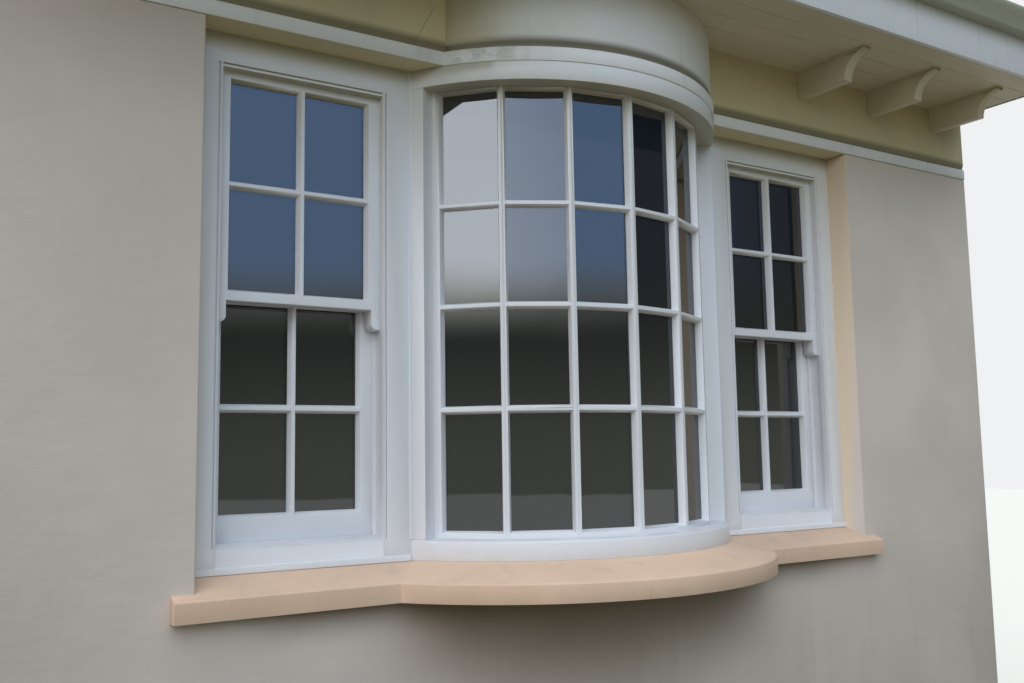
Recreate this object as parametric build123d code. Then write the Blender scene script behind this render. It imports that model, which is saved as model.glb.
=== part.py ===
# Bow (bay) window module of a rendered house front, ground to eaves.
# Millimetres. +X right seen from outside, -Y towards the street, +Z up.
# In this file Y = 0 is the wall's outer face; pieces are moved to the row frame when saved.
import math
import os

from build123d import *

# overall module: rafter ends at one pitch, half a pitch off the middle
RAFTER_PITCH = 455.0
BAYS = 5
HALF_W = BAYS * RAFTER_PITCH
WALL_T = 330.0
SILL_Z = 1100.0
OPEN_HALF = 1400.0
FRAME_Y = 101.0
FRAME_BACK = 262.0

# levels above the sill line, each height standing on the one before it
BED_FOOT = -6.0
KERB_H = 60.0
HEAD_Z = 1560.0
HEAD_H = 64.0
BAND_H = 47.0
HOLLOW_H = 21.0
DRUM_H = 246.0
GUTTER_LIFT = 169.0
DECK_LIFT = 83.0
BAND_Z = HEAD_Z + HEAD_H
BAND_TOP = BAND_Z + BAND_H
BED_TOP = BAND_TOP + HOLLOW_H
SOFFIT_Z = BED_TOP + DRUM_H
GUTTER_Z = SOFFIT_Z + GUTTER_LIFT
EAVES_TOP = GUTTER_Z + DECK_LIFT

# bow in plan
BOW_CY = 501.0
R_KERB = 790.0
KERB_W = 112.0
LIGHT_SET_BACK = 60.0
BAND_PROUD = 3.0
DRUM_SET_BACK = 6.0
DRUM_T = 60.0
POST_LAP = 11.0
LAP_BEAD = 7.0
LAP_PROUD = 3.0
POST_BACK = 45.0
JAMB_TURN = 3.31
END_TURN = 0.65
LIGHTS = 6
LIGHT_T = 45.0
LEDGE_FALL = 4.0
LIP = 3.0
MULL_HALF = 18.0
END_STILE = 8.0
BAR = 27.0
BOW_SILL_RAIL = 22.0
BOW_HEAD_RAIL = 9.0
BOW_FIRST_BAR = 474.0
BOW_BAR_PITCH = 343.0
BOW_ROWS = 4

# glazing
PUTTY = 8.0
PUTTY_D = 25.0
GLASS_T = 4.0

# masonry sill
SILL_DROP = 54.0
SILL_FACE = 60.0
SILL_OUT = 40.0
SILL_HORN = 65.0
SILL_LEDGE = 170.0
NOSE = 4.0
NOSE_RISE = NOSE / 3
BED_H = 14.0
BED_OUT = 6.0

# flank windows
INNER_LINING = 93.0
OUTER_LINING = 83.0
HEAD_LINING = 107.0
CHANNEL = 10.0
SASH_Y = 132.0
SASH_T = 54.0
PART_T = 10.0
INNER_STILE = 46.0
OUTER_STILE = 40.0
TOP_RAIL = 30.0
MEET_Z = 803.0
MEET_RAIL = 36.0
SASH_BOTTOM = 77.0
BOTTOM_RAIL = 82.0
TIMBER_FRONT = 61.0
QUIRK = 5.0
QUIRK_D = 9.0
QUIRK_STOP = 6.0
BEAD_W = 13.0
HORN_W = 28.0
HORN_H = 66.0
HORN_R = 19.0

# band and eaves
BAND_OUT = 4.0
HOLLOW_D = 5.0
HOLLOW_R = 24.0
CEILING_T = 26.0
FASCIA_Y = 483.0
BOARD_T = 20.0
SOFFIT_T = 18.0
FIRST_RAFTER = 2
BRACKET_W = 47.0
BRACKET_L = 350.0
BRACKET_H = 113.0
BRACKET_R = 100.0
GUTTER_W = 100.0
GUTTER_H = 76.0
GUTTER_T = 4.0
GUTTER_FLOOR = 0.55
GUTTER_LIP = 0.86
OGEE_STEPS = 10
BOARD_IN = 22.0
BOARD_NOSE = 20.0

# how far a cut runs past the faces that it opens
OVERRUN = 1.0

R_IN = R_KERB - KERB_W
R_GLAZE = R_KERB - LIGHT_SET_BACK
R_BAND = R_KERB + BAND_PROUD
R_DRUM = R_KERB - DRUM_SET_BACK
R_SILL = R_KERB + SILL_LEDGE
POST_X = math.sqrt(R_KERB ** 2 - (BOW_CY - FRAME_Y) ** 2) + POST_LAP
JAMB_A = math.degrees(math.acos((BOW_CY - FRAME_Y) / R_KERB)) - JAMB_TURN
LIGHT_A = 2 * (JAMB_A - END_TURN) / LIGHTS
WIN_IN = POST_X + INNER_LINING
WIN_OUT = OPEN_HALF - OUTER_LINING
HEAD_FRAME_Z = BAND_Z - HEAD_LINING
MEET_TOP = MEET_Z + MEET_RAIL
FAR = 2 * HALF_W
BOW_C = (0.0, BOW_CY)
LOWER_Y = SASH_Y + SASH_T + PART_T
SILL_BASE = -(SILL_DROP + SILL_FACE)


def block(x0, x1, y0, y1, z0, z1):
    return Pos((x0 + x1) / 2, (y0 + y1) / 2, (z0 + z1) / 2) * Box(abs(x1 - x0), abs(y1 - y0), abs(z1 - z0))


def prism(points, z0, z1):
    face = make_face(Polyline(*points, close=True))
    return Pos(0, 0, z0) * extrude(face, z1 - z0)


def side_prism(points, x0, x1):
    # points are (y, z); the solid runs along X
    face = make_face(Polyline(*[(0, y, z) for y, z in points], close=True))
    return Pos(x0, 0, 0) * extrude(face, x1 - x0, dir=(1, 0, 0))


def turned(outline):
    # an outline drawn as (radius, height), turned about the bow's centre line
    face = Plane.XZ * make_face(outline)
    return Pos(0, BOW_CY, 0) * revolve(face, Axis.Z, 360)


def disc(radius, z0, z1):
    return Pos(0, BOW_CY, (z0 + z1) / 2) * Cylinder(radius, z1 - z0)


def ring(r_in, r_out, z0, z1):
    return disc(r_out, z0, z1) - disc(r_in, z0 - OVERRUN, z1 + OVERRUN)


def polar(radius, angle):
    a = math.radians(angle)
    return (radius * math.sin(a), BOW_CY - radius * math.cos(a))


def mirror_x(shape):
    return mirror(shape, about=Plane.YZ)


def post_points(r_out):
    a = polar(r_out, JAMB_A)
    b = (math.sqrt(r_out ** 2 - (BOW_CY - FRAME_Y) ** 2), FRAME_Y)
    e = polar(R_IN, JAMB_A)
    return [a, b, (POST_X, FRAME_Y), (POST_X, FRAME_BACK), (e[0] + POST_BACK, FRAME_BACK), e]


def wedge(z0, z1):
    p = polar(FAR, JAMB_A)
    points = [BOW_C, p, (p[0], p[1] - FAR), (-p[0], p[1] - FAR), (-p[0], p[1])]
    return prism(points, z0, z1)


def bow_ring(r_out, z0, z1):
    # ring between the jambs with its two square ends that carry the posts
    body = ring(R_IN, r_out, z0, z1) & wedge(z0, z1)
    end = prism(post_points(r_out), z0, z1)
    return body + end + mirror_x(end)


def in_front(shape, y=0.0):
    return shape & block(-FAR, FAR, y - FAR, y, -FAR, FAR)


# masonry
def wall_below():
    base = block(-HALF_W, HALF_W, 0, WALL_T, -SILL_Z, SILL_BASE)
    upstand = block(-OPEN_HALF, OPEN_HALF, FRAME_BACK, WALL_T, SILL_BASE, BED_FOOT)
    return base + upstand


def wall_pier():
    return block(OPEN_HALF, HALF_W, 0, WALL_T, SILL_BASE, BAND_Z)


def wall_above():
    # the wall over the opening, with the hollow that runs over the band
    body = block(-HALF_W, HALF_W, 0, WALL_T, BAND_Z, EAVES_TOP - BOARD_T)
    outline = hollow(0) + Polyline((-HOLLOW_D, BAND_TOP), (HOLLOW_D, BAND_TOP), (HOLLOW_D, BED_TOP), (0, BED_TOP))
    return body - along_wall(outline, -HALF_W)


def window_sill():
    arris = (-SILL_OUT + NOSE, -SILL_DROP + NOSE_RISE)
    nose = [arris, (-SILL_OUT, -SILL_DROP - NOSE), (-SILL_OUT, SILL_BASE)]
    profile = nose + [(FRAME_BACK, SILL_BASE), (FRAME_BACK, BED_FOOT), (FRAME_Y, BED_FOOT)]
    straight = side_prism(profile, -OPEN_HALF, OPEN_HALF)
    wall_line = BED_FOOT - (SILL_DROP + BED_FOOT) * FRAME_Y / (FRAME_Y + SILL_OUT)
    horn = side_prism(nose + [(0, SILL_BASE), (0, wall_line)], OPEN_HALF, OPEN_HALF + SILL_HORN)
    cone = Polyline((0, SILL_BASE), (R_SILL, SILL_BASE), (R_SILL, -SILL_DROP - NOSE),
                    (R_SILL - NOSE, -SILL_DROP + NOSE_RISE), (R_KERB, BED_FOOT), (0, BED_FOOT), close=True)
    return straight + horn + mirror_x(horn) + in_front(turned(cone), FRAME_BACK)


# bow joinery
def bow_kerb():
    # a flush foot, and a top that sheds water outside the lights
    foot = bow_ring(R_KERB, BED_FOOT, BED_H)
    fall = KERB_H - LEDGE_FALL
    ledge = Polyline((R_IN, BED_H), (R_KERB, BED_H), (R_KERB, fall - LIP), (R_KERB - LIP, fall),
                     (R_GLAZE, KERB_H), (R_IN, KERB_H), close=True)
    end = prism(post_points(R_KERB), BED_H, KERB_H)
    return (turned(ledge) & wedge(BED_H, KERB_H)) + end + mirror_x(end) + foot


def bow_post():
    # the small bead stands where the post laps the flank window's lining
    bead = block(POST_X - LAP_BEAD, POST_X, FRAME_Y - LAP_PROUD, FRAME_Y, KERB_H, HEAD_Z)
    return prism(post_points(R_KERB), KERB_H, HEAD_Z) + bead


def light_rows():
    low = KERB_H + BOW_SILL_RAIL
    rows = []
    for number in range(BOW_ROWS - 1):
        z = BOW_FIRST_BAR + number * BOW_BAR_PITCH
        rows.append((low, z - BAR / 2))
        low = z + BAR / 2
    rows.append((low, HEAD_Z - BOW_HEAD_RAIL))
    return rows


def rect_at(y, xc, zc, w, h):
    return Plane(origin=(xc, y, zc), x_dir=(1, 0, 0), z_dir=(0, -1, 0)) * Rectangle(w, h)


def pane_cut(x0, x1, z0, z1, y_front, depth):
    # straight hole with a splayed putty line on its outer side
    w, h = x1 - x0, z1 - z0
    xc, zc = (x0 + x1) / 2, (z0 + z1) / 2
    spread = 2 * PUTTY * (PUTTY_D + OVERRUN) / PUTTY_D
    splay = loft([rect_at(y_front - OVERRUN, xc, zc, w + spread, h + spread),
                  rect_at(y_front + PUTTY_D, xc, zc, w, h)])
    return block(x0, x1, y_front - OVERRUN, y_front + depth + OVERRUN, z0, z1) + splay


def pane(x0, x1, z0, z1, y_front):
    return block(x0, x1, y_front + PUTTY_D, y_front + PUTTY_D + GLASS_T, z0, z1)


def light_place(index):
    middle = (index - (LIGHTS - 1) / 2) * LIGHT_A
    return Pos(0, BOW_CY, 0) * Rot(0, 0, middle)


def light_front():
    return -R_GLAZE * math.cos(math.radians(LIGHT_A / 2))


def light_clear():
    return R_GLAZE * math.sin(math.radians(LIGHT_A / 2)) - MULL_HALF


def light_span(index):
    # the pane's two sides; each end light has a wider stile next to its post
    clear = light_clear()
    left = END_STILE - clear if index == 0 else -clear
    right = clear - END_STILE if index == LIGHTS - 1 else clear
    return left, right


def bow_light(index):
    half = math.radians(LIGHT_A / 2)
    wide = math.radians(JAMB_A - (LIGHTS - 1) / 2 * LIGHT_A)
    left = wide if index == 0 else half
    right = wide if index == LIGHTS - 1 else half
    y0 = light_front()
    y1 = y0 + LIGHT_T
    points = [(y0 * math.tan(left), y0), (-y0 * math.tan(right), y0),
              (-y1 * math.tan(right), y1), (y1 * math.tan(left), y1)]
    body = prism(points, KERB_H, HEAD_Z)
    x0, x1 = light_span(index)
    for z0, z1 in light_rows():
        body = body - pane_cut(x0, x1, z0, z1, y0, LIGHT_T)
    return light_place(index) * body


def bow_glass():
    panes = []
    for index in range(LIGHTS):
        x0, x1 = light_span(index)
        for z0, z1 in light_rows():
            panes.append(light_place(index) * pane(x0, x1, z0, z1, light_front()))
    return Compound(children=panes)


def bow_head():
    return bow_ring(R_KERB, HEAD_Z, BAND_Z)


def hollow(face):
    # foot of the wall or drum where it dishes in over the band, as (outwards, height)
    return RadiusArc((face, BED_TOP), (face - HOLLOW_D, BAND_TOP), -HOLLOW_R)


def bow_band():
    back = R_DRUM - DRUM_T
    rest = Polyline((R_DRUM - HOLLOW_D, BAND_TOP), (R_BAND, BAND_TOP), (R_BAND, BAND_Z), (back, BAND_Z),
                    (back, BED_TOP), (R_DRUM, BED_TOP))
    return in_front(turned(hollow(R_DRUM) + rest))


def bow_drum():
    return in_front(ring(R_DRUM - DRUM_T, R_DRUM, BED_TOP, SOFFIT_Z))


def bow_ceiling():
    inner = in_front(disc(R_IN, BAND_Z - CEILING_T, BAND_Z), FRAME_BACK)
    strip = block(-POST_X, POST_X, FRAME_BACK, WALL_T, BAND_Z - CEILING_T, BAND_Z)
    shape = inner + strip
    end = prism(post_points(R_KERB), HEAD_Z, BAND_Z)
    return shape - end - mirror_x(end)


# straight band on the wall
def along_wall(outline, start):
    # an outline drawn as (outwards, height), run along the wall to its right end
    end = Plane(origin=(HALF_W, 0, 0), x_dir=(0, -1, 0), z_dir=(-1, 0, 0))
    return extrude(end * make_face(outline), HALF_W - start)


def wall_band():
    return block(BOW_CY, HALF_W, -BAND_OUT, 0, BAND_Z, BAND_TOP) - disc(R_BAND, BAND_Z, BED_TOP)


# flank windows, drawn for the right side
def jamb(x_open, x_wall):
    side = 1 if x_wall > x_open else -1
    pocket = x_open + side * CHANNEL
    body = block(x_open, x_wall, FRAME_Y, FRAME_BACK, BED_H, BAND_Z)
    body = body - block(x_open, pocket, SASH_Y, SASH_Y + SASH_T, SASH_BOTTOM, HEAD_FRAME_Z + CHANNEL)
    body = body - block(x_open, pocket, LOWER_Y, LOWER_Y + SASH_T, SASH_BOTTOM, HEAD_FRAME_Z + CHANNEL)
    q0 = x_open + side * (BEAD_W - QUIRK)
    q1 = x_open + side * BEAD_W
    return body - block(q0, q1, FRAME_Y, FRAME_Y + QUIRK_D, TIMBER_FRONT + QUIRK_STOP, HEAD_FRAME_Z + BEAD_W)


def frame_head():
    body = block(WIN_IN, WIN_OUT, FRAME_Y, FRAME_BACK, HEAD_FRAME_Z, BAND_Z)
    body = body - block(WIN_IN, WIN_OUT, SASH_Y, SASH_Y + SASH_T, HEAD_FRAME_Z, HEAD_FRAME_Z + CHANNEL)
    body = body - block(WIN_IN, WIN_OUT, LOWER_Y, LOWER_Y + SASH_T, HEAD_FRAME_Z, HEAD_FRAME_Z + CHANNEL)
    return body - block(WIN_IN, WIN_OUT, FRAME_Y, FRAME_Y + QUIRK_D,
                        HEAD_FRAME_Z + BEAD_W - QUIRK, HEAD_FRAME_Z + BEAD_W)


def timber_sill():
    bed = block(POST_X, OPEN_HALF, FRAME_Y - BED_OUT, FRAME_BACK, BED_FOOT, BED_H)
    profile = [(FRAME_Y, BED_H), (FRAME_BACK, BED_H), (FRAME_BACK, SASH_BOTTOM), (SASH_Y, SASH_BOTTOM),
               (FRAME_Y, TIMBER_FRONT)]
    return bed + side_prism(profile, WIN_IN, WIN_OUT)


def sash_columns():
    middle = (WIN_IN + WIN_OUT) / 2
    return ((WIN_IN + INNER_STILE, middle - BAR / 2), (middle + BAR / 2, WIN_OUT - OUTER_STILE))


def sash_rows(low, high):
    middle = (low + high) / 2
    return ((low, middle - BAR / 2), (middle + BAR / 2, high))


def upper_rows():
    return sash_rows(MEET_TOP, HEAD_FRAME_Z - TOP_RAIL)


def lower_rows():
    return sash_rows(SASH_BOTTOM + BOTTOM_RAIL, MEET_Z)


def sash_cuts(body, rows, y0):
    for x0, x1 in sash_columns():
        for z0, z1 in rows:
            body = body - pane_cut(x0, x1, z0, z1, y0, SASH_T)
    return body


def horn(x_jamb, side):
    # end of a stile below the meeting rail, rounded off towards the jamb
    x_out = x_jamb - side * CHANNEL
    x_in = x_jamb + side * HORN_W
    foot = MEET_Z - HORN_H
    turn = x_in - side * HORN_R
    sides = Polyline((turn, foot), (x_out, foot), (x_out, MEET_Z), (x_in, MEET_Z), (x_in, foot + HORN_R))
    outline = sides + RadiusArc((x_in, foot + HORN_R), (turn, foot), side * HORN_R)
    return Pos(0, SASH_Y + SASH_T, 0) * extrude(Plane.XZ * make_face(outline), SASH_T)


def upper_sash():
    body = block(WIN_IN - CHANNEL, WIN_OUT + CHANNEL, SASH_Y, SASH_Y + SASH_T, MEET_Z, HEAD_FRAME_Z)
    body = body + block(WIN_IN, WIN_OUT, SASH_Y, SASH_Y + SASH_T, HEAD_FRAME_Z, HEAD_FRAME_Z + CHANNEL)
    return sash_cuts(body, upper_rows(), SASH_Y) + horn(WIN_IN, 1) + horn(WIN_OUT, -1)


def lower_sash():
    body = block(WIN_IN - CHANNEL, WIN_OUT + CHANNEL, LOWER_Y, LOWER_Y + SASH_T, SASH_BOTTOM, MEET_TOP)
    return sash_cuts(body, lower_rows(), LOWER_Y)


def flank_glass():
    panes = []
    for x0, x1 in sash_columns():
        for z0, z1 in upper_rows():
            panes.append(pane(x0, x1, z0, z1, SASH_Y))
        for z0, z1 in lower_rows():
            panes.append(pane(x0, x1, z0, z1, LOWER_Y))
    return panes


def inner_board():
    inner = in_front(disc(R_IN, BED_FOOT, BOARD_IN), FRAME_BACK)
    end = prism(post_points(R_KERB), BED_FOOT, KERB_H)
    strip = block(-OPEN_HALF, OPEN_HALF, FRAME_BACK, WALL_T + BOARD_NOSE, BED_FOOT, BOARD_IN)
    return inner - end - mirror_x(end) + strip


# eaves
def eaves_soffit():
    return block(-HALF_W + BOARD_T, HALF_W - BOARD_T, -FASCIA_Y + BOARD_T, 0, SOFFIT_Z, SOFFIT_Z + SOFFIT_T)


def bracket(x):
    body = block(x - BRACKET_W / 2, x + BRACKET_W / 2, -BRACKET_L, 0, SOFFIT_Z - BRACKET_H, SOFFIT_Z)
    cut = Pos(x, -BRACKET_L, SOFFIT_Z - BRACKET_H) * Rot(0, 90, 0) * Cylinder(BRACKET_R, 2 * BRACKET_W)
    return body - cut


def fascia():
    return block(-HALF_W, HALF_W, -FASCIA_Y, -FASCIA_Y + BOARD_T, SOFFIT_Z, EAVES_TOP - BOARD_T)


def gutter_profile(wall):
    # back, floor, ogee front and upright lip, drawn in by the wall's thickness
    points = [(0, 1), (0, 0), (GUTTER_FLOOR, 0)]
    for step in range(1, OGEE_STEPS + 1):
        s = step / OGEE_STEPS
        points.append((GUTTER_FLOOR + (1 - GUTTER_FLOOR) * (3 * s * s - 2 * s * s * s), GUTTER_LIP * s))
    points.append((1, 1))
    back = -FASCIA_Y - wall
    width = GUTTER_W - 2 * wall
    return [(back - across * width, GUTTER_Z + wall + up * GUTTER_H) for across, up in points]


def gutter():
    # moulded front, open top, closed ends
    outer = side_prism(gutter_profile(0), -HALF_W, HALF_W)
    return outer - side_prism(gutter_profile(GUTTER_T), -HALF_W + GUTTER_T, HALF_W - GUTTER_T)


def eaves_deck():
    top = block(-HALF_W, HALF_W, -FASCIA_Y, WALL_T, EAVES_TOP - BOARD_T, EAVES_TOP)
    end = block(HALF_W - BOARD_T, HALF_W, -FASCIA_Y + BOARD_T, 0, SOFFIT_Z, EAVES_TOP - BOARD_T)
    return top + end + mirror_x(end)


def save(name, shape):
    placed = Pos(0, -WALL_T / 2, SILL_Z) * shape
    export_step(placed, "parts/" + name + ".step")


def save_pair(name, shape):
    save(name + "_right", shape)
    save(name + "_left", mirror_x(shape))


os.makedirs("parts", exist_ok=True)
save("wall_below", wall_below())
save_pair("wall_pier", wall_pier())
save("wall_above", wall_above())
save("window_sill", window_sill())
save("bow_kerb", bow_kerb())
save_pair("bow_post", bow_post())
for number in range(LIGHTS):
    save("bow_light_" + str(number + 1), bow_light(number))
save("bow_glass", bow_glass())
save("bow_head", bow_head())
save("bow_band", bow_band())
save("bow_drum", bow_drum())
save("bow_ceiling", bow_ceiling())
save_pair("wall_band", wall_band())
save_pair("jamb_outer", jamb(WIN_OUT, OPEN_HALF))
save_pair("jamb_inner", jamb(WIN_IN, POST_X))
save_pair("frame_head", frame_head())
save_pair("timber_sill", timber_sill())
save_pair("upper_sash", upper_sash())
save_pair("lower_sash", lower_sash())
save("flank_glass_right", Compound(children=flank_glass()))
save("flank_glass_left", Compound(children=[mirror_x(p) for p in flank_glass()]))
save("inner_board", inner_board())
save("eaves_soffit", eaves_soffit())
for number in range(BAYS - FIRST_RAFTER):
    save_pair("rafter_end_" + str(number + 1), bracket((FIRST_RAFTER + 0.5 + number) * RAFTER_PITCH))
save("fascia", fascia())
save("gutter", gutter())
save("eaves_deck", eaves_deck())
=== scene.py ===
# A bow window between two sash windows, under boarded eaves: the finished surfaces.
# Metres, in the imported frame: +X right seen from the street, -Y to the street, +Z up.
import math

import bmesh
import bpy
from mathutils import Matrix, Vector


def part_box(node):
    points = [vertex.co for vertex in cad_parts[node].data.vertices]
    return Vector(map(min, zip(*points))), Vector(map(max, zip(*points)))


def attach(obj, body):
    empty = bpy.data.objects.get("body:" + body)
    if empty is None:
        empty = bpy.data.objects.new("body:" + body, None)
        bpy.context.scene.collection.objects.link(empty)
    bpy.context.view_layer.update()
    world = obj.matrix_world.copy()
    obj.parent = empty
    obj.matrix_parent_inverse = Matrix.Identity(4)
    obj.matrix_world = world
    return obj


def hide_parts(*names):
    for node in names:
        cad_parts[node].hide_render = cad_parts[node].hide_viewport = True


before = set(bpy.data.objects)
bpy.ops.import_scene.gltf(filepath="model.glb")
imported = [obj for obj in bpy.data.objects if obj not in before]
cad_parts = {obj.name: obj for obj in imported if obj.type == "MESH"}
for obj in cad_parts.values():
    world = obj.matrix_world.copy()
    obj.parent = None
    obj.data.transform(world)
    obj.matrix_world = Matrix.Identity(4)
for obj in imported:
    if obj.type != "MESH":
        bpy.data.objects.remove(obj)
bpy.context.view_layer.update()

bl_info = {
    "name": "Bow window bay",
    "version": (1, 0, 0),
    "blender": (4, 5, 0),
    "location": "3D View > Sidebar > Bow window",
    "description": "Paint, boards, glass and fittings for a bow window bay",
    "category": "Object",
}

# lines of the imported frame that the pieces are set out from
WALL_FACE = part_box("wall_pier_right")[0][1]
REVEAL_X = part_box("wall_pier_right")[0][0]
HALF_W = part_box("wall_pier_right")[1][0]
SILL_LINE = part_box("bow_kerb")[0][2]
SILL_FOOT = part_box("window_sill")[0][2]
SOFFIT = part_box("eaves_soffit")
SOFFIT_FACE = SOFFIT[0][2]
BAND_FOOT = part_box("bow_band")[0][2]
BAND_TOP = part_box("wall_band_left")[1][2]
BED_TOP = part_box("bow_band")[1][2]
FLANKS = ("left", "right")
LIGHTS = ["bow_light_%d" % number for number in range(1, 7)]
RAFTER_NUMBERS = (1, 2, 3)
RAFTERS = [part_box("rafter_end_%d_right" % number) for number in RAFTER_NUMBERS]
RAFTER_PITCH = RAFTERS[1][0][0] - RAFTERS[0][0][0]
RAFTER_TIP = RAFTERS[0][0][1]


def paint(red, green, blue):
    """An sRGB paint colour, 0 to 255, as scene-linear RGBA."""
    linear = []
    for value in (red, green, blue):
        value /= 255
        linear.append(value / 12.92 if value <= 0.04045 else ((value + 0.055) / 1.055) ** 2.4)
    return (*linear, 1.0)


def shade(colour, factor):
    return (colour[0] * factor, colour[1] * factor, colour[2] * factor, 1.0)


def colour_prop(name, description, default):
    return bpy.props.FloatVectorProperty(
        name=name, description=description, subtype="COLOR", size=4, min=0.0, max=1.0, default=default)


def length_prop(name, description, default):
    return bpy.props.FloatProperty(
        name=name, description=description, unit="LENGTH", min=0.0, default=default)


class PaintSettings(bpy.types.PropertyGroup):
    render: colour_prop("Render", "Masonry paint on the wall", paint(205, 194, 186))
    reveal: colour_prop("Reveal", "Masonry paint on the returns beside the windows", paint(219, 199, 175))
    sill: colour_prop("Sill", "Masonry paint on the long sill", paint(219, 189, 166))
    frieze: colour_prop("Frieze", "Paint between the band and the soffit", paint(208, 197, 160))
    joinery: colour_prop("Joinery", "Gloss paint on frames and sashes", paint(223, 224, 230))
    trim: colour_prop("Trim", "Paint on the band and drum", paint(228, 228, 228))
    soffit: colour_prop("Soffit", "Paint on the soffit and rafter ends", paint(208, 199, 174))
    fascia: colour_prop("Fascia", "Paint on the fascia", paint(227, 229, 233))
    gutter: colour_prop("Gutter", "Paint on the gutter", paint(166, 167, 152))
    deck: colour_prop("Deck", "Bare boards over the eaves", paint(142, 134, 122))


# wear and painted shade: marks laid over the paints, some of them shade painted into the colour
class WearAndShadeSettings(bpy.types.PropertyGroup):
    damp: colour_prop("Damp", "Damp at the foot of the wall", paint(128, 126, 108))
    # painted shadow: the wall darkened close under the sill, as the sill shades it
    wall_shadow_by_sill: colour_prop("Under sill", "Dirt on the wall close under the sill", paint(112, 98, 78))
    # painted shadow: the wall darkened where the bow overhangs and shades it
    wall_shadow_by_bow: colour_prop("Under bow", "Dirt on the wall where the bow overhangs it", paint(106, 90, 70))
    speck: colour_prop("Speck", "Specks on the wall", paint(96, 88, 76))
    grime: colour_prop("Grime", "Grime on top of the sill", paint(150, 136, 118))
    drip: colour_prop("Drip", "Drips on the sill's edge", paint(146, 124, 98))
    chip: colour_prop("Chip", "Chips in the sill's paint", paint(120, 96, 70))
    # painted shade: the faces of the sill that look down are darkened
    sill_nose_shade: colour_prop("Sill foot", "Dirt under the sill", paint(92, 76, 56))
    dust: colour_prop("Dust", "Dust on ledges", paint(170, 162, 148))
    splash: colour_prop("Splash", "Splashes at the foot of the joinery", paint(164, 156, 140))
    # algae and painted shade in the hollow over the band
    band_algae_and_shade: colour_prop("Algae", "Algae in the hollow over the band", paint(88, 82, 50))
    # algae and painted shade at the foot of the frieze, over the band
    frieze_algae_and_shade: colour_prop("Frieze algae", "Algae at the foot of the frieze", paint(86, 82, 52))
    # olive stain and painted shade at the top of the flank frames, darkest under the band
    stain_and_shade_under_band: colour_prop("Lintel", "Algae on the frames under the band", paint(128, 122, 84))
    # painted shade: the joinery high up is yellowed and darkened as in the shade of the eaves
    high: colour_prop("High", "Yellowed paint in the shade of the eaves", paint(196, 192, 160))
    # painted shade: the downward faces of the joinery high up, yellowed and darkened
    shaded_underside: colour_prop("Underside", "Yellowed paint on undersides", paint(158, 148, 104))
    # painted shade: olive on the left end of the drum, next to the wall
    drum_end_shade: colour_prop("Corner", "Algae on the drum next to the wall", paint(176, 166, 124))
    streak: colour_prop("Streak", "Streaks down the band and drum", paint(138, 132, 112))
    crack: colour_prop("Crack", "Cracks in crazed paint", paint(138, 130, 112))
    spot: colour_prop("Spot", "Spots on the soffit", paint(92, 84, 66))
    green: colour_prop("Green", "Green on the ends of the rafters", paint(150, 150, 106))
    run: colour_prop("Run", "Run-off down the fascia", paint(150, 150, 136))
    rust: colour_prop("Rust", "Rust on the nail heads", paint(112, 84, 56))


class ArrisSettings(bpy.types.PropertyGroup):
    timber: length_prop("Timber", "Radius worn on the edges of frames and sashes", 0.0014)
    trim: length_prop("Trim", "Radius worn on the edges of bands and boards", 0.0025)
    masonry: length_prop("Masonry", "Radius worn on the edges of the render", 0.006)
    sill: length_prop("Sill", "Radius worn on the edges of the sill", 0.003)
    frieze: length_prop("Frieze", "Radius worn on the edges of the frieze", 0.001)
    brass: length_prop("Brass", "Radius worn on the edges of the brass", 0.0006)


class BoardSettings(bpy.types.PropertyGroup):
    cut: length_prop("Cut board", "Width of the cut board beside the wall", 0.057)
    count: bpy.props.IntProperty(name="Boards", description="Whole boards in the soffit", min=1, default=4)
    vee: length_prop("Vee", "Depth of the vee joint between boards", 0.004)
    spread: length_prop("Spread", "How far the butt joints stray from the middle", 1.7)
    seed: bpy.props.IntProperty(name="Seed", description="Order of the butt joints", default=11)


class GlassSettings(bpy.types.PropertyGroup):
    # painted shade: the pane's own dark colour stands in for the unlit room behind it
    body: colour_prop("Body", "Dark of the room seen through a pane", paint(24, 28, 28))
    wave: length_prop("Wave", "Depth of the slow waves in the sheet", 0.0006)
    cover: bpy.props.FloatProperty(
        name="Cover", description="How much of the room behind a pane is lost", min=0.0, max=1.0, default=0.9)


class FittingSettings(bpy.types.PropertyGroup):
    brass: colour_prop("Brass", "Lacquered brass of the fasteners and lifts", paint(176, 160, 104))
    fastener: length_prop("Fastener", "Length of the arm of a sash fastener", 0.050)
    lift_reach: length_prop("Lift reach", "Distance of a sash lift from the sash's middle", 0.15)
    lift_rise: length_prop("Lift rise", "Height of a sash lift over the sash's foot", 0.045)
    nail: length_prop("Nail", "Radius of a painted nail head", 0.0032)
    nail_rise: length_prop("Nail rise", "How far a nail head stands out", 0.0009)
    nail_stray: length_prop("Nail stray", "How far a nail strays from its line", 0.004)


class StageSettings(bpy.types.PropertyGroup):
    floor: colour_prop("Floor", "Floor as it is seen", paint(236, 235, 231))
    ground: colour_prop("Ground", "Floor as it throws light back", paint(104, 98, 78))
    backdrop: colour_prop("Backdrop", "Background behind the floor", paint(240, 241, 243))
    level: bpy.props.FloatProperty(name="Level", description="Strength of the dome", min=0.0, default=1.0)


# the soft dome: degrees to the right of straight out, degrees up, sharpness and linear colour
OPEN_SKY = (-60.0, 35.0, 6.0, (2.07, 2.01, 2.07))
BLUE_SKY = (-10.0, 35.0, 6.0, (0.30, 0.66, 1.20))
LOW_GLOW = (-20.0, 10.0, 6.0, (0.93, 0.87, 0.45))
OVERHEAD = (0.0, 85.0, 4.0, (2.07, 2.13, 2.01))

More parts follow.
